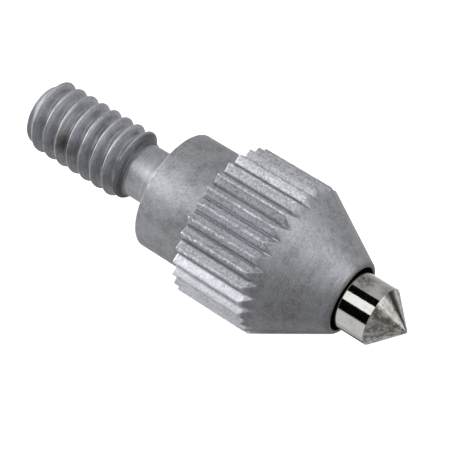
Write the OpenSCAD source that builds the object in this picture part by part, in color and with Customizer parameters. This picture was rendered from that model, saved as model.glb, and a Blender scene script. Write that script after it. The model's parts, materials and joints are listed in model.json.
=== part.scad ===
// Small live center: a hardened point that spins on two shielded ball bearings
// inside a knurled housing, carried on a threaded stud.
// The stud's axis lies along X. X = 0 is the shoulder that seats against the
// holder, the stud points to -X and the point to +X.

/* [Threaded stud] */
// Major diameter of the stud's thread
thread_d = 6.3; // [6.1:0.05:6.35]
// Pitch of the thread (20 turns to the inch)
thread_pitch = 1.27; // [1.2:0.01:1.3]
// Length from the shoulder to the stud's free end
stud_l = 14; // [13:0.5:20]
// Diameter of the plain neck between the thread and the shoulder
neck_d = 4.7; // [4.4:0.1:4.9]
// Length of the neck, to where the thread is at full depth
neck_l = 3.6; // [3:0.1:4.5]

/* [Body] */
// Diameter of the plain collar
collar_d = 10.4; // [10.3:0.1:11.4]
// Length of the collar
collar_l = 5.1; // [5:0.1:5.4]
// Diameter over the knurl
knurl_d = 13.4; // [13.2:0.1:15]
// Length of the knurl at its full diameter
knurl_l = 6.5; // [6.4:0.1:7]
// Number of straight grooves in the knurl
knurl_count = 30; // [24:2:32]
// Depth of each 90 degree groove
knurl_depth = 0.56; // [0.3:0.02:0.6]
// Angle of the first groove, from straight up
knurl_turn = 1.3; // [0:0.1:12]
// Included angle of the housing's cone
cone_angle = 60; // [56:1:60]
// Diameter of the flat ring at the nose
nose_d = 6.3; // [6.2:0.1:6.6]
// Diameter of the hole in the nose
nose_hole_d = 5.6; // [5.4:0.1:5.8]

/* [Point] */
// Diameter of the spindle where it leaves the nose
pin_d = 5; // [4.6:0.1:5.2]
// Length of the straight pin in front of the nose
pin_out_l = 2.8; // [2:0.1:6]
// Included angle of the point
point_angle = 90; // [60:5:120]

/* [Bearings] */
// Balls in the front bearing
front_balls_n = 9; // [7:1:10]
// Balls in the rear bearing
rear_balls_n = 8; // [6:1:9]

/* [Hidden] */
$fn = 96;

// Clearances: pieces fixed to each other, a ball on its seats, and a seal lip on the spindle
fixed_gap = 0.005;
ball_gap = 0.02;
lip_gap = 0.03;
past = 1;                                  // how far a cutter runs past what it cuts

thread_r = thread_d/2;
thread_depth = 0.59*thread_pitch;
crest_w = thread_pitch/8;
root_w = thread_pitch - crest_w - 2*thread_depth*tan(30);
stud_chamfer = 0.62;
neck_r = neck_d/2;
neck_fillet = 0.3;
thread_end_x = -neck_l - (thread_r - neck_r);
first_groove_x = thread_end_x - crest_w/2 - thread_pitch/2;
collar_r = collar_d/2;
edge_break = 0.15;

// Where each length along X starts
knurl_x = collar_l;
cone_x = knurl_x + knurl_l;
nose_x = cone_x + (knurl_d - nose_d)/2/tan(cone_angle/2);
pin_end_x = nose_x + pin_out_l;
tip_x = pin_end_x + pin_d/2/tan(point_angle/2);

// A shielded ball bearing, as [rear face x, width, bore r, outside r, inner race r, outer race r,
// ball r, shield recess depth, recess r, shield thickness, clip thickness]
front_brg = [9, 4, pin_d/2, 5, pin_d/2 + 0.45, 4.3, 0.794, 0.55, 4.6, 0.18, 0.2];
rear_brg = [3.6, 3, 2, 4, 2.5, 3.5, 0.5955, 0.42, 3.72, 0.14, 0.16];
function rear_face(b) = b[0];
function front_face(b) = b[0] + b[1];
function middle(b) = b[0] + b[1]/2;
function pitch_r(b) = (b[4] + b[5])/2;

// The stud's spigot, the cup inside it and the pocket at the cup's bottom
spigot_x = 7.3;
cup_x = 2.5;
cup_r = rear_brg[3];
pocket_x = 1.0;
pocket_r = 2.5;
housing_bore_r = front_brg[3];

// The pocket of the nose seal
seal_r = 3.5;
seal_x = 14.4;
seal_end_x = 15.6;

// The thrust ball and what it runs between
thrust_ball_r = 1.25;
thrust_ball_x = 3.0;
pad_end_x = 2.0;
spindle_x = 3.5;
journal_r = rear_brg[2];
flange_r = front_brg[4] - 0.15;
flange_x = 7.2;

steel = "#8b8c90";
polished = "#c9c8c6";
race_steel = "#b4b6ba";
brass = "#b08d4a";
rubber = "#202022";

// Turns an outline of [x, r] points about the X axis
module turned(outline, angle = 360) {
    rotate([90, 0, 90]) rotate_extrude(angle = angle) polygon([for (p = outline) [p[1], p[0]]]);
}

// A plain ring about the X axis
module ring(x0, x1, r0, r1) {
    turned([[x0, r0], [x1, r0], [x1, r1], [x0, r1]]);
}

// One thread groove of the 60 degree profile, centred on x
module thread_groove(x) {
    out = 0.3;
    half_root = root_w/2;
    half_top = half_root + (thread_depth + out)*tan(30);
    root_r = thread_r - thread_depth;
    turned([[x - half_root, root_r], [x + half_root, root_r],
            [x + half_top, thread_r + out], [x - half_top, thread_r + out]]);
}

// The stud, its neck, the collar and the spigot with the bearing cup, all one turning
module stud_body() {
    color(steel) difference() {
        turned([[-stud_l, 0], [-stud_l, thread_r - stud_chamfer], [-stud_l + stud_chamfer, thread_r],
                [thread_end_x, thread_r], [-neck_l, neck_r], [-neck_fillet, neck_r],
                for (a = [15:15:75]) [-neck_fillet*(1 - sin(a)), neck_r + neck_fillet*(1 - cos(a))],
                [0, neck_r + neck_fillet], [0, collar_r - edge_break], [edge_break, collar_r],
                [knurl_x, collar_r], [knurl_x, housing_bore_r - fixed_gap],
                [spigot_x, housing_bore_r - fixed_gap], [spigot_x, cup_r], [cup_x, cup_r],
                [cup_x, pocket_r], [pocket_x, pocket_r], [pocket_x, 0]]);
        for (x = [first_groove_x : -thread_pitch : -stud_l + stud_chamfer]) thread_groove(x);
    }
}

// One straight V groove of the knurl, run out over the cone
module knurl_groove() {
    floor_r = knurl_d/2 - knurl_depth;
    out = 0.5;
    half = knurl_depth + out;
    translate([knurl_x - past, 0, 0]) rotate([90, 0, 90])
        linear_extrude(knurl_l + knurl_depth/tan(cone_angle/2) + 2*past)
            polygon([[0, floor_r], [half, floor_r + half], [-half, floor_r + half]]);
}

// The knurled shell with its cone, bored from the rear for the front bearing and the seal
module knurled_housing() {
    color(steel) difference() {
        turned([[knurl_x, housing_bore_r], [knurl_x, knurl_d/2], [cone_x, knurl_d/2],
                [nose_x - edge_break, nose_d/2 + edge_break*tan(cone_angle/2)],
                [nose_x, nose_d/2 - edge_break/2], [nose_x, nose_hole_d/2], [seal_end_x, nose_hole_d/2],
                [seal_end_x, seal_r], [front_face(front_brg), seal_r],
                [front_face(front_brg), housing_bore_r]]);
        for (i = [0 : knurl_count - 1]) rotate([knurl_turn + 360*i/knurl_count, 0, 0]) knurl_groove();
    }
}

// The hardened spindle: seat for the thrust ball, rear journal, flange, pin and point
module center_spindle() {
    seat_depth = thrust_ball_x + (thrust_ball_r + ball_gap)*sqrt(2) - spindle_x;
    color(polished)
        turned([[spindle_x + seat_depth, 0], [spindle_x, seat_depth], [spindle_x, journal_r - fixed_gap],
                [front_face(rear_brg), journal_r - fixed_gap],
                [front_face(rear_brg), rear_brg[4] - 0.1], [flange_x, rear_brg[4] - 0.1],
                [flange_x, flange_r], [rear_face(front_brg), flange_r],
                [rear_face(front_brg), pin_d/2 - fixed_gap],
                [front_face(front_brg), pin_d/2 - fixed_gap], [front_face(front_brg), pin_d/2],
                [pin_end_x, pin_d/2], [tip_x, 0]]);
}

// Outer race of a bearing, with its ball groove and a recess at each face for a shield
module outer_race(b) {
    groove_r = b[6] + ball_gap;
    color(race_steel) difference() {
        ring(rear_face(b), front_face(b), b[5], b[3] - fixed_gap);
        for (face = [rear_face(b), front_face(b)]) ring(face - b[7], face + b[7], 0, b[8]);
        translate([middle(b), 0, 0]) rotate([0, 90, 0])
            rotate_extrude() translate([pitch_r(b), 0]) circle(groove_r);
    }
}

// Inner race of a bearing, with its ball groove
module inner_race(b) {
    groove_r = b[6] + ball_gap;
    color(race_steel) difference() {
        ring(rear_face(b), front_face(b), b[2], b[4]);
        translate([middle(b), 0, 0]) rotate([0, 90, 0])
            rotate_extrude() translate([pitch_r(b), 0]) circle(groove_r);
    }
}

// The balls of a bearing, evenly spaced in its cage
module balls(b, count) {
    color(polished) for (i = [0 : count - 1]) rotate([360*i/count, 0, 0])
        translate([middle(b), pitch_r(b), 0]) sphere(b[6]);
}

// Cage ring that keeps the balls apart, with a round pocket drilled for each
module ball_cage(b, count) {
    wall = 0.22;
    pocket = b[6] + 0.05;
    half_w = pocket + wall;
    half_t = (b[5] - b[4])/2 - 0.15;
    drill_l = 2*half_t + wall;
    color(brass) difference() {
        ring(middle(b) - half_w, middle(b) + half_w, pitch_r(b) - half_t, pitch_r(b) + half_t);
        for (i = [0 : count - 1]) rotate([360*i/count, 0, 0])
            translate([middle(b), pitch_r(b) - drill_l/2, 0]) rotate([-90, 0, 0])
                cylinder(r = pocket, h = drill_l);
    }
}

// Thin shield on the step of the outer race's recess; side is 1 at the nose end, -1 at the stud end
module shield(b, side) {
    face = side > 0 ? front_face(b) : rear_face(b);
    inner = face - side*b[7];
    color(race_steel) ring(min(inner, inner + side*b[9]), max(inner, inner + side*b[9]),
                           b[4] + 0.07, b[8] - fixed_gap);
}

// Snap ring that holds a shield in its recess
module shield_clip(b, side) {
    face = side > 0 ? front_face(b) : rear_face(b);
    from = face - side*(b[7] - b[9]);
    opening = 30;
    rotate([opening/2, 0, 0]) color(steel)
        turned([[from, b[8] - 0.25], [from + side*b[10], b[8] - 0.25],
                [from + side*b[10], b[8] - fixed_gap], [from, b[8] - fixed_gap]], 360 - opening);
}

// Sleeve that carries the spigot's clamping force to the front bearing's outer race
module bearing_spacer() {
    color(steel) ring(spigot_x, rear_face(front_brg), 4.35, housing_bore_r - fixed_gap);
}

// Wave spring that pushes the rear bearing's outer race forward
module preload_spring() {
    r0 = 3.35;
    r1 = 3.9;
    strip = 0.25;
    waves = 3;
    steps = 72;
    room = rear_face(rear_brg) - cup_x - strip;
    swing = room/2 - ball_gap;
    function at(i, r, up) = let (a = 360*i/steps)
        [cup_x + room/2 + swing*cos(waves*a) + up*strip, r*cos(a), r*sin(a)];
    corners = [for (i = [0 : steps - 1]) each [at(i, r0, 0), at(i, r1, 0), at(i, r1, 1), at(i, r0, 1)]];
    sides = [for (i = [0 : steps - 1], k = [0 : 3])
        let (j = (i + 1) % steps, m = (k + 1) % 4) each
            [[4*i + k, 4*i + m, 4*j + m], [4*i + k, 4*j + m, 4*j + k]]];
    color(race_steel) polyhedron(points = corners, faces = sides);
}

// Hardened pad at the bottom of the pocket, with a shallow seat for the thrust ball
module thrust_pad() {
    color(race_steel) difference() {
        turned([[pocket_x, 0], [pocket_x, pocket_r - fixed_gap],
                [pad_end_x, pocket_r - fixed_gap], [pad_end_x, 0]]);
        translate([thrust_ball_x, 0, 0]) sphere(thrust_ball_r + ball_gap);
    }
}

// Ball that carries the work's end load from the spindle to the pad
module thrust_ball() {
    color(polished) translate([thrust_ball_x, 0, 0]) sphere(thrust_ball_r);
}

// Ring seal in front of the front bearing, with a lip that clears the spindle
module nose_seal() {
    lip_w = 0.4;
    body_r = pin_d/2 + 0.3;
    color(rubber)
        turned([[seal_x, body_r], [seal_end_x - lip_w, body_r], [seal_end_x - lip_w, pin_d/2 + lip_gap],
                [seal_end_x, pin_d/2 + lip_gap], [seal_end_x, seal_r - fixed_gap],
                [seal_x, seal_r - fixed_gap]]);
}

stud_body();
knurled_housing();
center_spindle();
outer_race(front_brg);  // front_outer_race
inner_race(front_brg);  // front_inner_race
ball_cage(front_brg, front_balls_n);  // front_ball_cage
balls(front_brg, front_balls_n);  // front_balls
shield(front_brg, 1);  // front_shield_nose_side
shield(front_brg, -1);  // front_shield_stud_side
shield_clip(front_brg, 1);  // front_clip_nose_side
shield_clip(front_brg, -1);  // front_clip_stud_side
outer_race(rear_brg);  // rear_outer_race
inner_race(rear_brg);  // rear_inner_race
ball_cage(rear_brg, rear_balls_n);  // rear_ball_cage
balls(rear_brg, rear_balls_n);  // rear_balls
shield(rear_brg, 1);  // rear_shield_nose_side
shield(rear_brg, -1);  // rear_shield_stud_side
shield_clip(rear_brg, 1);  // rear_clip_nose_side
shield_clip(rear_brg, -1);  // rear_clip_stud_side
bearing_spacer();
preload_spring();
thrust_pad();
thrust_ball();
nose_seal();
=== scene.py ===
import json
import math
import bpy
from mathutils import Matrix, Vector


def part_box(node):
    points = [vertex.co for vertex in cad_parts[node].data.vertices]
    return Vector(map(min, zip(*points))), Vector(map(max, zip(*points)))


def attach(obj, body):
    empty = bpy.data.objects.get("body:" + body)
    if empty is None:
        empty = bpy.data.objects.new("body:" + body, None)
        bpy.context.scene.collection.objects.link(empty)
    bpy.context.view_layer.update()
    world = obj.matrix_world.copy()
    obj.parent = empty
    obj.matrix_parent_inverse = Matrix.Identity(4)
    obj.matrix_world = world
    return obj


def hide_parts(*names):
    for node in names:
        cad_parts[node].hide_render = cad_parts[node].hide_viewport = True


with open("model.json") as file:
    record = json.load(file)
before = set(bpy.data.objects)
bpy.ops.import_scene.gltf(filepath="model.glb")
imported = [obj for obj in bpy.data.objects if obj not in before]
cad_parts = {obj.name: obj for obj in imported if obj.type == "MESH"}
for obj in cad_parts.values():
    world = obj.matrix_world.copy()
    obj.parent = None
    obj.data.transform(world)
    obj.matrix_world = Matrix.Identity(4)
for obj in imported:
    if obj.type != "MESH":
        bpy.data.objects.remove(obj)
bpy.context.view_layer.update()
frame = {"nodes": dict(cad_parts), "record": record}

from types import SimpleNamespace

import bmesh
import bpy
import numpy as np
from mathutils import Matrix, Vector

# The object's axis lies along X, with X = 0 at the shoulder that seats against the holder.
# Sizes are in millimetres in this script's outlines, and in metres once a mesh is made.
MM = 0.001
SEED = 7


def mm(node):
    """A CAD node's lowest and highest corners, in millimetres."""
    low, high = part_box(node)
    return low / MM, high / MM


# ---------------------------------------------------------------- sizes, from the frame
stud_low, stud_high = mm("stud_body")
shell_low, shell_high = mm("knurled_housing")
spindle_low, spindle_high = mm("center_spindle")

STUD_END = stud_low.x
SPIGOT_END = stud_high.x
COLLAR_R = stud_high.z
KNURL_X = shell_low.x
NOSE_X = shell_high.x
TIP_X = spindle_high.x

THREAD_R = 3.15
THREAD_ROOT_R = 2.4
PITCH = 1.27
THREAD_TURN = 0.37           # where the helix starts, as a share of a turn
THREAD_CHAMFER = 0.62        # at the stud's rear end
STAIN_R = 2.8                # where stains lie on the thread's flanks
NECK_R = 2.35
NECK_X = -3.6
KNURL_R = 6.7
KNURL_COUNT = 30
KNURL_DEPTH = 0.56
GROOVE_FLOOR = 0.14          # width of each groove's flat floor
KNURL_TURN = 1.3             # degrees from straight up to the first groove
NICK_DEPTH = 0.035           # of the nicks along the knurl's crests
CONE_X = 11.6
CONE_SLOPE = math.tan(math.radians(30))
BORE_R = 5.0
SPIGOT_R = BORE_R - 0.005    # pressed into the bore
CUP_R, CUP_X = 4.0, 2.5      # the spigot's cup for the rear bearing, and how deep it goes
PAD_R, PAD_X = 2.5, 1.0      # the pocket for the thrust pad, at the cup's bottom
SEAL_R = 3.5
SEAL_X = (13.0, 15.6)
HOLE_R = 2.8
PIN_R = 2.5
PIN_END_X = 20.55
REAR_JOURNAL_R, REAR_JOURNAL_X = 1.995, 6.6
SHOULDER_R, SHOULDER_X = 2.4, 7.2
FLANGE_R, FLANGE_X = 2.8, 9.0
FRONT_JOURNAL_R, FRONT_JOURNAL_X = 2.495, 13.0
SEAT_DEPTH = 1.2965          # of the 90 degree seat for the thrust ball
TIP_SHORT = 0.04             # how far the worn tip stops short of the sharp one


# ---------------------------------------------------------------- mesh building
def soft_min(a, b, k):
    """The lower of a and b, with the corner where they cross rounded over a height of about k."""
    h = np.clip(0.5 + 0.5 * (b - a) / k, 0, 1)
    return b * (1 - h) + a * h - k * h * (1 - h)


def rounded(corners, steps=4):
    """An outline through corners (x, r, fillet), with an arc of that radius at each corner that has one."""
    points = []
    for k, (x, r, fillet) in enumerate(corners):
        here = np.array((x, r), float)
        if not fillet:
            points.append(here)
            continue
        back = np.array(corners[k - 1][:2]) - here
        ahead = np.array(corners[k + 1][:2]) - here
        back /= np.linalg.norm(back)
        ahead /= np.linalg.norm(ahead)
        half = math.acos(np.clip(back @ ahead, -1, 1)) / 2
        middle = (back + ahead) / np.linalg.norm(back + ahead)
        centre = here + middle * fillet / math.sin(half)
        start = here + back * fillet / math.tan(half) - centre
        end = here + ahead * fillet / math.tan(half) - centre
        for t in np.linspace(0, 1, steps + 1):
            spoke = start * (1 - t) + end * t
            points.append(centre + spoke / np.linalg.norm(spoke) * fillet)
    return points


def turned_rows(outline, columns):
    """Rows of x and r for an outline that is the same all the way round."""
    points = np.array(outline, float)
    ones = np.ones(columns)
    return points[:, :1] * ones, points[:, 1:] * ones


def skin(name, x, r, phi, sharp=40):
    """A closed mesh from rows of x and r at the angles phi, where the last column repeats the first."""
    rows, columns = x.shape
    points = np.stack([x, r * np.cos(phi), r * np.sin(phi)], -1).reshape(-1, 3) * MM
    index = np.arange(rows * columns).reshape(rows, columns)
    quads = np.stack([index[:-1, :-1], index[:-1, 1:], index[1:, 1:], index[1:, :-1]], -1).reshape(-1, 4)
    mesh = bpy.data.meshes.new(name)
    mesh.from_pydata(points.tolist(), [], quads.tolist())
    work = bmesh.new()
    work.from_mesh(mesh)
    bmesh.ops.remove_doubles(work, verts=work.verts, dist=2e-7)
    bmesh.ops.dissolve_degenerate(work, edges=work.edges, dist=1e-8)
    bmesh.ops.recalc_face_normals(work, faces=work.faces)
    for face in work.faces:
        face.smooth = True
    work.to_mesh(mesh)
    work.free()
    mesh.set_sharp_from_angle(angle=math.radians(sharp))
    piece = bpy.data.objects.new(name, mesh)
    bpy.context.scene.collection.objects.link(piece)
    return piece


def stack(*parts):
    """Joins blocks of rows into one pair of x and r arrays."""
    return np.vstack([p[0] for p in parts]), np.vstack([p[1] for p in parts])


# ---------------------------------------------------------------- the threaded stud
def thread_radius(along):
    """Radius of the 60 degree thread at a distance along the helix, with crests and roots rounded by wear."""
    samples = 400
    at = (np.arange(samples) / samples - 0.5) * PITCH
    half_crest = PITCH / 16
    flank = (THREAD_R - THREAD_ROOT_R) * math.tan(math.radians(30))
    drop = np.clip((np.abs(at) - half_crest) / flank, 0, 1)
    radius = THREAD_R - (THREAD_R - THREAD_ROOT_R) * drop
    blur = np.exp(-0.5 * (at / 0.055) ** 2)
    smooth = np.real(np.fft.ifft(np.fft.fft(radius) * np.fft.fft(np.fft.ifftshift(blur / blur.sum()))))
    smooth += THREAD_R - smooth.max()
    where = (along / PITCH + 0.5) % 1 * samples
    return np.interp(where, np.arange(samples + 1), np.append(smooth, smooth[0]))


def build_stud():
    """The stud with its real helix, its collar, and the spigot that goes into the shell."""
    columns, rows_per_turn = 240, 28
    phi = np.linspace(0, 2 * math.pi, columns + 1)
    climb = PITCH * phi / (2 * math.pi)
    count = int((NECK_X - STUD_END + PITCH) / PITCH * rows_per_turn) + 2
    start = STUD_END - PITCH + PITCH / rows_per_turn * np.arange(count)
    x = np.clip(start[:, None] + climb[None, :], STUD_END, NECK_X)
    end_r = THREAD_R - THREAD_CHAMFER
    clear_r = THREAD_R + 0.05
    edge = 0.07
    taper_x = NECK_X - (THREAD_R - NECK_R)
    limit = np.interp(x, [STUD_END, STUD_END + edge, STUD_END + THREAD_CHAMFER, taper_x, NECK_X],
                      [end_r - edge, end_r + edge, clear_r, clear_r, NECK_R])
    r = soft_min(thread_radius(x - climb - THREAD_TURN * PITCH), limit, 0.06)
    end_face = (np.full((3, columns + 1), STUD_END), r[:1] * np.array([[0.0], [0.4], [0.8]]))
    body = rounded([(NECK_X + 0.08, NECK_R, 0), (0, NECK_R, 0.3), (0, COLLAR_R, 0.09),
                    (KNURL_X, COLLAR_R, 0), (KNURL_X, SPIGOT_R, 0), (SPIGOT_END, SPIGOT_R, 0.08),
                    (SPIGOT_END, CUP_R, 0.08), (CUP_X, CUP_R, 0), (CUP_X, PAD_R, 0),
                    (PAD_X, PAD_R, 0), (PAD_X, 0, 0)])
    return skin("stud_with_thread", *stack(end_face, (x, r), turned_rows(body, columns + 1)), phi)


# ---------------------------------------------------------------- the knurled housing
def groove_radius(phi):
    """Radius of the flat-bottomed 90 degree grooves at angle phi, carried on upwards between them."""
    step = 2 * math.pi / KNURL_COUNT
    first = math.radians(90 + KNURL_TURN)
    off = np.abs((phi - first + step / 2) % step - step / 2)
    floor_r = KNURL_R - KNURL_DEPTH
    floor_angle = GROOVE_FLOOR / 2 / floor_r
    past = np.maximum(off - floor_angle, 0)
    return floor_r / np.maximum(np.cos(past) - np.sin(past), 0.05)


def housing_angles():
    """Angles all round, close together at each groove's floor and edges."""
    step = 360 / KNURL_COUNT
    inside = [0, 0.35, 0.62, 0.8, 1.2, 1.9, 2.8, 3.6, 4.2, 4.6, 4.9, 5.2, 5.45, 5.7, 5.85]
    period = inside + [6.0] + [step - a for a in reversed(inside[1:])]
    turns = [90 + KNURL_TURN + step * k + a for k in range(KNURL_COUNT) for a in period]
    return np.radians(np.array(turns + [turns[0] + 360]))


def build_housing():
    """The knurled shell, from its rear face over the grooves and the cone to the bore."""
    phi = housing_angles()
    columns = len(phi)
    generator = np.random.default_rng(SEED)
    groove = groove_radius(phi)
    edge = 0.025
    blend = 0.06
    knurl_rows = 70
    knurl_end = CONE_X - 0.1
    crest_height = 0.2

    def envelope(x):
        return np.minimum(KNURL_R, KNURL_R - (x - CONE_X) * CONE_SLOPE)

    def outside(x):
        return soft_min(envelope(x), np.broadcast_to(groove, x.shape), blend)

    # small nicks along the crests, the same at both ends of the turn
    straight = np.linspace(KNURL_X + edge, knurl_end, knurl_rows)[:, None] * np.ones(columns)
    nicks = generator.normal(0, 1, (knurl_rows, columns - 1))
    nicks = np.hstack([nicks, nicks[:, :1]])
    nicks = np.clip(0.25 * (nicks + np.roll(nicks, 1, 0) + np.roll(nicks, -1, 0)), 0, 1)
    crest = np.clip((outside(straight) - (KNURL_R - crest_height)) / crest_height, 0, 1)
    knurl = outside(straight) - NICK_DEPTH * nicks * crest
    rear = outside(straight[:1])
    halfway_r = 5.6
    rear_r = np.vstack([np.full((1, columns), BORE_R), np.full((1, columns), halfway_r), rear - edge])
    rear_face = (np.full((3, columns), KNURL_X), rear_r)
    # the grooves run out on the cone along this curve
    run_out = CONE_X + np.maximum(KNURL_R - np.minimum(groove, KNURL_R), 0) / CONE_SLOPE
    plain_cone_x = 13.2
    to_curve = knurl_end + (run_out - knurl_end) * np.linspace(0.1, 1, 12)[:, None]
    past_curve = run_out + (plain_cone_x - run_out) * np.linspace(0.06, 1, 8)[:, None]
    on_cone = np.vstack([to_curve, past_curve])
    cone_start = (on_cone, outside(on_cone))
    nose_r = KNURL_R - (NOSE_X - 0.15 - CONE_X) * CONE_SLOPE
    inside = rounded([(14.4, envelope(14.4), 0), (NOSE_X - 0.13, nose_r, 0.14), (NOSE_X, 3.08, 0.07),
                      (NOSE_X, HOLE_R, 0.07), (SEAL_X[1], HOLE_R, 0), (SEAL_X[1], SEAL_R, 0),
                      (SEAL_X[0], SEAL_R, 0), (SEAL_X[0], BORE_R, 0), (KNURL_X, BORE_R, 0)])
    return skin("knurled_shell", *stack(rear_face, (straight, knurl), cone_start,
                                        turned_rows(inside, columns)), phi)


# ---------------------------------------------------------------- the spindle
def build_spindle():
    """The spindle, from the thrust ball's seat to the point."""
    columns = 192
    phi = np.linspace(0, 2 * math.pi, columns + 1)
    rear_x = spindle_low.x
    blunt = 0.12
    outline = rounded([(rear_x + SEAT_DEPTH, 0, 0), (rear_x, SEAT_DEPTH, 0.04),
                       (rear_x, REAR_JOURNAL_R, 0.1), (REAR_JOURNAL_X, REAR_JOURNAL_R, 0),
                       (REAR_JOURNAL_X, SHOULDER_R, 0.05), (SHOULDER_X, SHOULDER_R, 0),
                       (SHOULDER_X, FLANGE_R, 0.1), (FLANGE_X, FLANGE_R, 0.1),
                       (FLANGE_X, FRONT_JOURNAL_R, 0), (FRONT_JOURNAL_X, FRONT_JOURNAL_R, 0),
                       (FRONT_JOURNAL_X, PIN_R, 0), (PIN_END_X, PIN_R, 0.05),
                       (TIP_X - blunt, blunt, 0.1), (TIP_X - TIP_SHORT, 0, 0)])
    return skin("spindle_with_point", *turned_rows(outline, columns + 1), phi)


# ---------------------------------------------------------------- materials
class Shader:
    """A new material's nodes. add() makes a node, sets its inputs, and links those given as sockets."""

    def __init__(self, name, **values):
        self.material = bpy.data.materials.new(name)
        self.material.use_nodes = True
        self.tree = self.material.node_tree
        self.surface = self.tree.nodes["Principled BSDF"]
        self.set(self.surface, **values)
        where = self.tree.nodes.new("ShaderNodeTexCoord")
        scale = self.add("VectorMath", operation="SCALE", a=where.outputs["Object"], Scale=1 / MM)
        self.place = scale.outputs[0]
        parts = self.add("SeparateXYZ", a=self.place)
        self.x = parts.outputs[0]
        across = self.add("CombineXYZ", y=parts.outputs[1], z=parts.outputs[2])
        self.radius = self.add("VectorMath", operation="LENGTH", a=across.outputs[0]).outputs["Value"]
        self.spoke = self.add("VectorMath", operation="NORMALIZE", a=across.outputs[0]).outputs[0]

    def set(self, node, **values):
        names = {"a": 0, "b": 1, "x": "X", "y": "Y", "z": "Z"}
        for key, value in values.items():
            socket = node.inputs[names.get(key, key.replace("_", " "))]
            if isinstance(value, bpy.types.NodeSocket):
                self.tree.links.new(value, socket)
            else:
                socket.default_value = value

    def add(self, kind, operation=None, **values):
        node = self.tree.nodes.new("ShaderNode" + kind)
        if operation:
            node.operation = operation
        self.set(node, **values)
        return node

    def math(self, operation, a, b=0.0):
        return self.add("Math", operation, a=a, b=b).outputs[0]

    def both(self, *masks):
        """The product of several masks or numbers."""
        result = masks[0]
        for mask in masks[1:]:
            result = self.math("MULTIPLY", result, mask)
        return result

    def highest(self, *masks):
        """The highest of several masks."""
        result = masks[0]
        for mask in masks[1:]:
            result = self.math("MAXIMUM", result, mask)
        return result

    def noise(self, scale, detail=3.0, roughness=0.5, shift=0.0):
        """Noise of that many features a millimetre, from 0 to 1."""
        at = self.add("VectorMath", "ADD", a=self.place, b=(shift, shift * 0.7, shift * 1.3)).outputs[0]
        return self.add("TexNoise", Vector=at, Scale=scale, Detail=detail, Roughness=roughness).outputs["Fac"]

    def rings(self, scale, shift=0.0, along=1.0, round_it=0.08, detail=3.0):
        """Noise in lines round the axis, as turning leaves, or along the surface where round_it is large."""
        spoke = self.add("VectorMath", "SCALE", a=self.spoke, Scale=round_it).outputs[0]
        line = self.math("SUBTRACT", self.both(self.x, along), self.both(self.radius, 0.8 * along))
        at = self.add("CombineXYZ", x=self.math("ADD", line, shift)).outputs[0]
        at = self.add("VectorMath", "ADD", a=at, b=spoke).outputs[0]
        return self.add("TexNoise", Vector=at, Scale=scale, Detail=detail, Roughness=0.6).outputs["Fac"]

    def step(self, value, low, high, to_low=0.0, to_high=1.0):
        """value eased from to_low to to_high as it goes from low to high."""
        node = self.add("MapRange", Value=value, From_Min=low, From_Max=high, To_Min=to_low, To_Max=to_high)
        node.interpolation_type = "SMOOTHSTEP"
        return node.outputs[0]

    def spot(self, x, r, degrees, size, ragged):
        """Near 1 round one place on the surface, with an edge as ragged as the noise given."""
        turn = math.radians(degrees)
        centre = (x, r * math.cos(turn), r * math.sin(turn))
        away = self.add("VectorMath", "DISTANCE", a=self.place, b=centre).outputs["Value"]
        away = self.math("ADD", away, self.math("MULTIPLY", ragged, 2 * size))
        return self.step(away, 2.4 * size, 1.1 * size)

    def wedge(self, degrees, half_width, ragged):
        """Near 1 in a streak along the surface at one angle round the axis."""
        turn = math.radians(degrees)
        line = (0, math.cos(turn), math.sin(turn))
        away = self.add("VectorMath", "DISTANCE", a=self.spoke, b=line).outputs["Value"]
        width = math.radians(half_width)
        away = self.math("ADD", away, self.math("MULTIPLY", ragged, 2 * width))
        return self.step(away, 2.2 * width, 1.2 * width)

    def mix(self, fac, a, b):
        """Colour a where fac is 0 and colour b where it is 1."""
        node = self.add("Mix")
        node.data_type = "RGBA"
        sockets = [s for s in node.inputs if s.enabled]
        for socket, value in zip(sockets, (fac, a, b)):
            if isinstance(value, bpy.types.NodeSocket):
                self.tree.links.new(value, socket)
            elif socket.type == "RGBA":
                socket.default_value = (*value, 1)
            else:
                socket.default_value = value
        return [s for s in node.outputs if s.enabled][0]

    def bump(self, height, depth, under=None):
        """A bump of that depth in millimetres, laid over another if under is given."""
        node = self.add("Bump", Height=height, Strength=1.0, Distance=depth * MM)
        if under is not None:
            self.set(node, Normal=under)
        return node.outputs[0]


def grey(value, red=0.99, blue=1.07):
    """A grey of that brightness, with the slight blue of blasted steel unless told otherwise."""
    return (value * red, value, value * blue)


def regions(s):
    """Masks for the stretches of the stud and the shell that look different from each other."""
    shell = s.step(s.x, 4.95, 5.1)
    return SimpleNamespace(
        end=s.step(s.x, -13.35, -13.5),
        thread=s.step(s.x, -3.8, -4.2),
        run_out=s.both(s.step(s.x, -4.6, -4.2), s.step(s.x, -3.35, -3.6), s.step(s.radius, 3.2, 2.9)),
        neck=s.both(s.step(s.x, -4.2, -3.8), s.step(s.radius, 3.2, 2.6)),
        collar=s.both(s.step(s.x, -0.3, -0.1), s.step(s.x, 5.1, 4.95)),
        shell=shell,
        knurl=s.both(shell, s.step(s.x, 11.95, 11.75)),
        cone=s.both(s.step(s.x, 12.4, 13.6), s.step(s.radius, 5.9, 5.6)),
        rim=s.both(s.step(s.x, 16.9, 17.5), s.step(s.radius, 3.4, 3.0)),
        hole=s.both(s.step(s.x, 12.5, 13.0), s.step(s.radius, 2.92, 2.82)))


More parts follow.
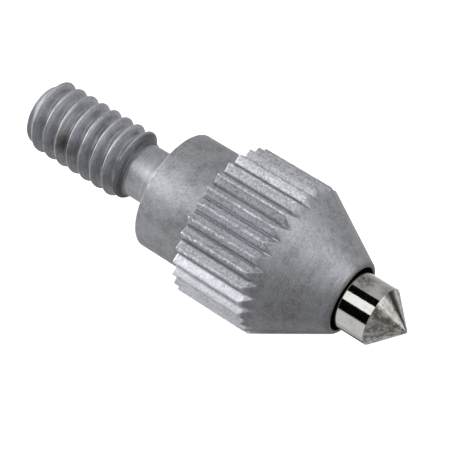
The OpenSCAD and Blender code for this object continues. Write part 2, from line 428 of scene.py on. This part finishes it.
def blasted_ground(s, grain, cloud):
    """The plain blasted surface: grain, clouds, lighter blotches and pits."""
    blotch = s.noise(0.6, 3, 0.5, shift=9.0)
    pits = s.step(s.noise(6.0, 2, 0.6, shift=9.0), 0.63, 0.74)
    base = s.mix(s.step(grain, 0.36, 0.64), grey(0.35), grey(0.535))
    base = s.mix(s.both(s.step(cloud, 0.56, 0.38), 0.5), base, grey(0.27))
    base = s.mix(s.both(s.step(blotch, 0.42, 0.6), 0.3), base, grey(0.6))
    return s.mix(s.both(pits, 0.6), base, grey(0.16))


def turned_where(s, at):
    """Where turning marks show: on the thread, its run-out and the neck, and broken ones on the cone."""
    broken = s.step(s.noise(1.3, 3, 0.6, shift=2.2), 0.38, 0.66)
    return s.highest(s.both(at.neck, 0.7), s.both(at.thread, 0.9), at.run_out, s.both(at.cone, broken, 0.7))


def stretch_tones(s, base, at, grain):
    """The collar and the cone a little darker, the neck, the thread and its end a little brighter."""
    base = s.mix(s.both(at.collar, 0.15), base, grey(0.2))
    base = s.mix(s.both(at.collar, s.step(grain, 0.46, 0.32), 0.3), base, grey(0.22))
    base = s.mix(s.both(at.neck, 0.1), base, grey(0.9))
    base = s.mix(s.both(at.end, 0.4), base, grey(0.75))
    base = s.mix(s.both(at.thread, 0.12), base, grey(0.8))
    return s.mix(s.both(at.cone, 0.12), base, grey(0.2))


def worn_where(s, at, cloud):
    """Bright wear on the crests of the thread and the knurl, and on the collar's rear edge."""
    specks = s.step(s.noise(3.6, 3, 0.6, shift=5.0), 0.46, 0.6)
    thread = s.both(at.thread, s.step(s.radius, 3.09, 3.14), s.step(cloud, 0.4, 0.56), 0.2)
    knurl = s.both(at.shell, s.step(s.radius, 6.62, 6.67), specks)
    edge = s.both(s.step(s.x, 0.16, 0.08), s.step(s.radius, 4.95, 5.05), s.step(cloud, 0.48, 0.6), 0.25)
    return s.highest(thread, knurl, edge)


def knurl_tones(s, base, at, grain, cloud):
    """Painted light on the low flanks and on one side, the grooves darker at their bottoms, and painted shade
    low in them on one side.
    """
    # painted light: the low flanks of the grooves made lighter
    low_flank_painted_light = s.both(s.step(s.radius, 6.13, 6.2), s.step(s.radius, 6.62, 6.42, 0.4, 1.0))
    base = s.mix(s.both(at.knurl, low_flank_painted_light, s.step(grain, 0.36, 0.6), 0.85), base, grey(0.8))
    ragged = s.both(cloud, 0.3)
    # painted light: one side of the knurl, round 190 degrees, made lighter
    painted_side_light = s.both(s.wedge(190, 20, ragged), s.step(grain, 0.34, 0.62, 0.4, 0.64))
    base = s.mix(s.both(at.knurl, painted_side_light), base, grey(0.97))
    # the grooves made darker at their bottoms
    base = s.mix(s.both(at.knurl, s.step(s.radius, 6.25, 6.16), 0.5), base, grey(0.08))
    shaded = s.both(s.wedge(205, 20, ragged), s.step(s.radius, 6.36, 6.24))
    return s.mix(s.both(at.knurl, shaded, 0.75), base, grey(0.06))


def thread_stains_and_shade(s, base, at, lines):
    """Dark stains low in the thread, painted shade in dark lines where it runs out, and one brown spot."""
    ragged = s.noise(1.1, 4, 0.65, shift=12.4)
    low = s.both(at.thread, s.step(s.x, -13.4, -13.1), s.step(s.radius, 3.0, 2.5))
    dark = s.highest(s.spot(-8.75, STAIN_R, 71, 0.7, ragged), s.spot(-7.1, STAIN_R, 92, 0.8, ragged),
                     s.spot(-5.6, STAIN_R, 62, 0.8, ragged), s.step(ragged, 0.55, 0.7, 0.0, 0.5))
    base = s.mix(s.both(low, dark, 0.66), base, grey(0.08))
    # painted shade: dark lines in the run-out between the thread and the neck
    base = s.mix(s.both(at.run_out, s.step(lines, 0.62, 0.5, 0.35, 0.8)), base, grey(0.1))
    brown = s.both(at.thread, s.spot(-9.6, STAIN_R, 160, 1.0, ragged))
    return s.mix(s.both(brown, 0.75), base, (0.13, 0.105, 0.075))


def blasted_steel():
    """The tumbled, bead-blasted grey of the stud and the shell."""
    s = Shader("blasted_steel", Metallic=1.0)
    grain = s.noise(5.5, 4, 0.8, shift=3.1)
    cloud = s.noise(1.5, 4, 0.6)
    lines = s.rings(7.0)
    at = regions(s)
    turned = turned_where(s, at)
    worn = worn_where(s, at, cloud)
    base = blasted_ground(s, grain, cloud)
    base = s.mix(s.both(turned, s.step(lines, 0.5, 0.72), 0.5), base, grey(0.66))
    base = s.mix(s.both(turned, s.step(lines, 0.5, 0.3), 0.6), base, grey(0.22))
    base = stretch_tones(s, base, at, grain)
    base = s.mix(worn, base, grey(0.85))
    base = knurl_tones(s, base, at, grain, cloud)
    base = thread_stains_and_shade(s, base, at, lines)
    # the nose: a stained rim round the hole, and painted shade in black inside it
    base = s.mix(s.both(at.rim, 0.6), base, (0.12, 0.12, 0.105))
    # painted shade: the wall of the hole made near black
    base = s.mix(at.hole, base, (0.008, 0.008, 0.008))
    rough = s.math("SUBTRACT", s.step(cloud, 0.3, 0.7, 0.46, 0.56), s.both(worn, 0.14))
    normal = s.bump(grain, 0.016)
    normal = s.bump(s.both(lines, turned), 0.02, normal)
    s.set(s.surface, Base_Color=base, Roughness=rough, Normal=normal)
    return s.material


def smudged_pin(s, film, smudge):
    """The polished cylinder: a warm film in patches, and brown smudges."""
    base = s.mix(s.step(film, 0.45, 0.7, 0.0, 0.4), grey(0.64, 1.02, 0.965), grey(0.4, 1.05, 0.93))
    return s.mix(s.both(smudge, 0.9), base, (0.1, 0.083, 0.073))


def streaked_point(s, ragged):
    """The ground point: streaks down the cone, brown mottled stains with painted shade away from its lit
    side, and a painted dark reflection in one streak.
    """
    streak = s.rings(2.2, along=0.12, round_it=3.0, detail=5.0)
    base = s.mix(s.step(streak, 0.35, 0.62), grey(0.5, 1.05, 0.94), grey(0.82, 1.02, 0.97))
    # painted shade: the mottle kept faint on the lit side and heavier round the rest of the point
    lit_side = s.step(s.wedge(96, 14, ragged), 0.0, 1.0, 0.75, 0.25)
    patches = s.highest(s.step(ragged, 0.5, 0.6), s.step(s.noise(1.8, 4, 0.7, shift=8.0), 0.5, 0.62))
    mottle = s.both(patches, lit_side, s.step(ragged, 0.36, 0.5, 0.6, 1.0))
    base = s.mix(mottle, base, (0.12, 0.1, 0.085))
    stained = s.both(s.wedge(123, 19, ragged), s.step(s.noise(2.4, 4, 0.7, shift=5.0), 0.42, 0.52, 0.35, 0.9))
    base = s.mix(stained, base, (0.09, 0.075, 0.062))
    # painted reflection: a near-black streak along the point at 69 degrees
    return s.mix(s.both(s.wedge(69, 14, ragged), 0.95), base, (0.035, 0.029, 0.027))


def ground_steel():
    """The spindle: polished and smudged on its cylinder; stained and streaked on the ground point, with
    painted shade and a painted dark reflection.
    """
    s = Shader("ground_steel", Metallic=1.0)
    on_point = s.step(s.x, PIN_END_X - 0.05, PIN_END_X + 0.05)
    ragged = s.noise(3.0, 5, 0.78, shift=2.0)
    film = s.noise(1.6, 5, 0.7, shift=6.6)
    smudge = s.highest(s.spot(18.55, PIN_R, 78, 1.0, ragged),
                       s.both(s.spot(17.8, PIN_R, 92, 0.6, ragged), 0.6),
                       s.both(s.spot(20.4, PIN_R, 72, 0.7, ragged), 0.7))
    smudge = s.both(smudge, s.step(s.noise(2.0, 5, 0.75, shift=7.5), 0.3, 0.62, 0.25, 1.0))
    base = s.mix(on_point, smudged_pin(s, film, smudge), streaked_point(s, ragged))
    rough = s.highest(s.both(on_point, s.step(film, 0.3, 0.7, 0.26, 0.4)), s.both(smudge, 0.3), 0.075)
    marks = s.rings(5.0, shift=3.0)
    normal = s.bump(s.both(marks, on_point), 0.01)
    normal = s.bump(s.noise(4.0, 4, 0.6), 0.002, normal)
    s.set(s.surface, Base_Color=base, Roughness=rough, Normal=normal)
    return s.material


def inner_metal(name, light, dark, rough, marks):
    """A machined inner piece: fine ring marks and a light oil film in two tones."""
    s = Shader(name, Metallic=1.0)
    film = s.step(s.noise(0.8, 4, 0.6), 0.35, 0.7)
    base = s.mix(film, light, dark)
    ring = s.rings(10.0)
    rough_map = s.step(s.noise(2.0, 3, 0.5, shift=4.0), 0.3, 0.7, rough * 0.8, rough * 1.25)
    s.set(s.surface, Base_Color=base, Roughness=rough_map, Normal=s.bump(ring, marks))
    return s.material


def seal_rubber():
    """Matte black nitrile with a faint bloom."""
    s = Shader("seal_rubber")
    bloom = s.step(s.noise(1.5, 4, 0.6), 0.4, 0.75)
    base = s.mix(bloom, (0.012, 0.012, 0.013), (0.03, 0.03, 0.031))
    rough = s.step(s.noise(3.0, 3, 0.5, shift=2.0), 0.3, 0.7, 0.55, 0.75)
    s.set(s.surface, Base_Color=base, Roughness=rough, Normal=s.bump(s.noise(6.0, 3), 0.008))
    return s.material


def dress(node, material):
    """Gives a CAD node that stays in view its material."""
    mesh = frame["nodes"][node].data
    mesh.materials.clear()
    mesh.materials.append(material)


def piece(built, body, node, slot, material):
    """Makes a built mesh ride on a body in place of a CAD node."""
    built.data.materials.append(material)
    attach(built, body)
    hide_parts(node)


steel = blasted_steel()
piece(build_stud(), "housing", "stud_body", "blasted_steel", steel)
piece(build_housing(), "housing", "knurled_housing", "blasted_steel", steel)
piece(build_spindle(), "spindle", "center_spindle", "ground_steel", ground_steel())

inner = {
    "race_steel": inner_metal("race_steel", grey(0.62), grey(0.5), 0.22, 0.004),
    "ball_steel": inner_metal("ball_steel", grey(0.72), grey(0.64), 0.08, 0.0005),
    "shield_steel": inner_metal("shield_steel", grey(0.58), grey(0.47), 0.34, 0.004),
    "spring_steel": inner_metal("spring_steel", grey(0.36), grey(0.27), 0.3, 0.004),
    "cage_brass": inner_metal("cage_brass", (0.68, 0.5, 0.2), (0.54, 0.37, 0.14), 0.3, 0.006),
    "seal_rubber": seal_rubber(),
}
slots = {p["node"]: p["material_slot"] for p in frame["record"]["subparts"]}
for node, slot in slots.items():
    if slot in inner:
        dress(node, inner[slot])


# ---------------------------------------------------------------- camera
AZIMUTH, ELEVATION = math.radians(38.42), math.radians(50.74)
DISTANCE = 0.1628
PAN_RIGHT, PAN_DOWN = 0.00401, 0.002775
right = Vector((math.cos(AZIMUTH), math.sin(AZIMUTH), 0))
toward = Vector((math.sin(AZIMUTH), -math.cos(AZIMUTH), 0))
back = toward * math.cos(ELEVATION) + Vector((0, 0, math.sin(ELEVATION)))
up = back.cross(right)

camera = bpy.data.objects.new("camera", bpy.data.cameras.new("camera"))
camera.data.sensor_width = 36
camera.data.lens = 160
camera.data.clip_start = 0.005
viewpoint = right * PAN_RIGHT - up * PAN_DOWN + back * DISTANCE
camera.matrix_world = Matrix.Translation(viewpoint) @ Matrix((right, up, back)).transposed().to_4x4()
bpy.context.scene.collection.objects.link(camera)
bpy.context.scene.camera = camera


# ---------------------------------------------------------------- floor and studio
def plain(name, brightness, glow=0.0):
    """A matt grey, or a glowing one, for the studio round the object."""
    material = bpy.data.materials.new(name)
    material.use_nodes = True
    surface = material.node_tree.nodes["Principled BSDF"]
    surface.inputs["Base Color"].default_value = (brightness, brightness, brightness, 1)
    surface.inputs["Roughness"].default_value = 0.9
    surface.inputs["Specular IOR Level"].default_value = 0.0
    surface.inputs["Emission Color"].default_value = (1, 1, 1, 1)
    surface.inputs["Emission Strength"].default_value = glow
    return material


def place(obj, azimuth, elevation, distance):
    """Puts a panel or light that far away, at those angles in degrees, turned to face the object."""
    turn, rise = math.radians(azimuth), math.radians(elevation)
    outward = Vector((math.cos(rise) * math.cos(turn), math.cos(rise) * math.sin(turn), math.sin(rise)))
    across = Vector((-math.sin(turn), math.cos(turn), 0))
    axes = Matrix((across, outward.cross(across), outward)).transposed().to_4x4()
    obj.matrix_world = Matrix.Translation(outward * distance) @ axes
    obj.visible_camera = False
    bpy.context.scene.collection.objects.link(obj)


def card(name, azimuth, elevation, distance, width, height, material):
    """A flat panel that reflections see and the camera doesn't."""
    w, h = width / 2, height / 2
    mesh = bpy.data.meshes.new(name)
    mesh.from_pydata([(-w, -h, 0), (w, -h, 0), (w, h, 0), (-w, h, 0)], [], [(0, 1, 2, 3)])
    mesh.materials.append(material)
    obj = bpy.data.objects.new(name, mesh)
    place(obj, azimuth, elevation, distance)


def softbox(name, azimuth, elevation, distance, width, height, brightness):
    """A lamp the size of a panel, whose face is as bright as given whatever its size."""
    light = bpy.data.lights.new(name, "AREA")
    light.shape = "RECTANGLE"
    light.size = width
    light.size_y = height
    light.energy = math.pi * width * height * brightness
    place(bpy.data.objects.new(name, light), azimuth, elevation, distance)


floor_z = shell_low.z * MM
HALF_FLOOR = 3               # metres, so that its edges stay out of sight
floor_corners = [(x * HALF_FLOOR, y * HALF_FLOOR, floor_z) for x, y in ((-1, -1), (1, -1), (1, 1), (-1, 1))]
floor_mesh = bpy.data.meshes.new("floor")
floor_mesh.from_pydata(floor_corners, [], [(0, 1, 2, 3)])
floor_mesh.materials.append(plain("floor_white", 0.8, 0.85))
floor = bpy.data.objects.new("floor", floor_mesh)
floor.visible_glossy = False
bpy.context.scene.collection.objects.link(floor)

softbox("left_softbox", -157, 26, 0.6, 0.8, 0.56, 2.4)
softbox("right_softbox", 23, 46, 0.6, 0.35, 0.41, 1.7)
card("bounce_left", -133, 53, 0.66, 0.6, 0.62, plain("bounce_left", 0.0, 1.3))
card("bounce_front", -134, -31, 0.62, 1.06, 0.7, plain("bounce_front", 0.0, 0.75))
card("bounce_back", 125, -44, 0.6, 0.56, 0.41, plain("bounce_back", 0.0, 0.82))
card("bounce_right", -48, -32, 0.58, 0.79, 0.83, plain("bounce_right", 0.0, 0.29))
flag_black = plain("flag_black", 0.002)
card("flag_over", -176, 69, 0.5, 0.25, 0.42, flag_black)
card("flag_front", -99, 22, 0.45, 0.6, 0.31, flag_black)
card("flag_under", 140, -80, 0.3, 0.11, 0.11, flag_black)

world = bpy.data.worlds.new("studio")
world.use_nodes = True
world.node_tree.nodes["Background"].inputs["Color"].default_value = (1, 1, 1, 1)
world.node_tree.nodes["Background"].inputs["Strength"].default_value = 0.54
bpy.context.scene.world = world
bpy.context.scene.view_settings.view_transform = "Standard"
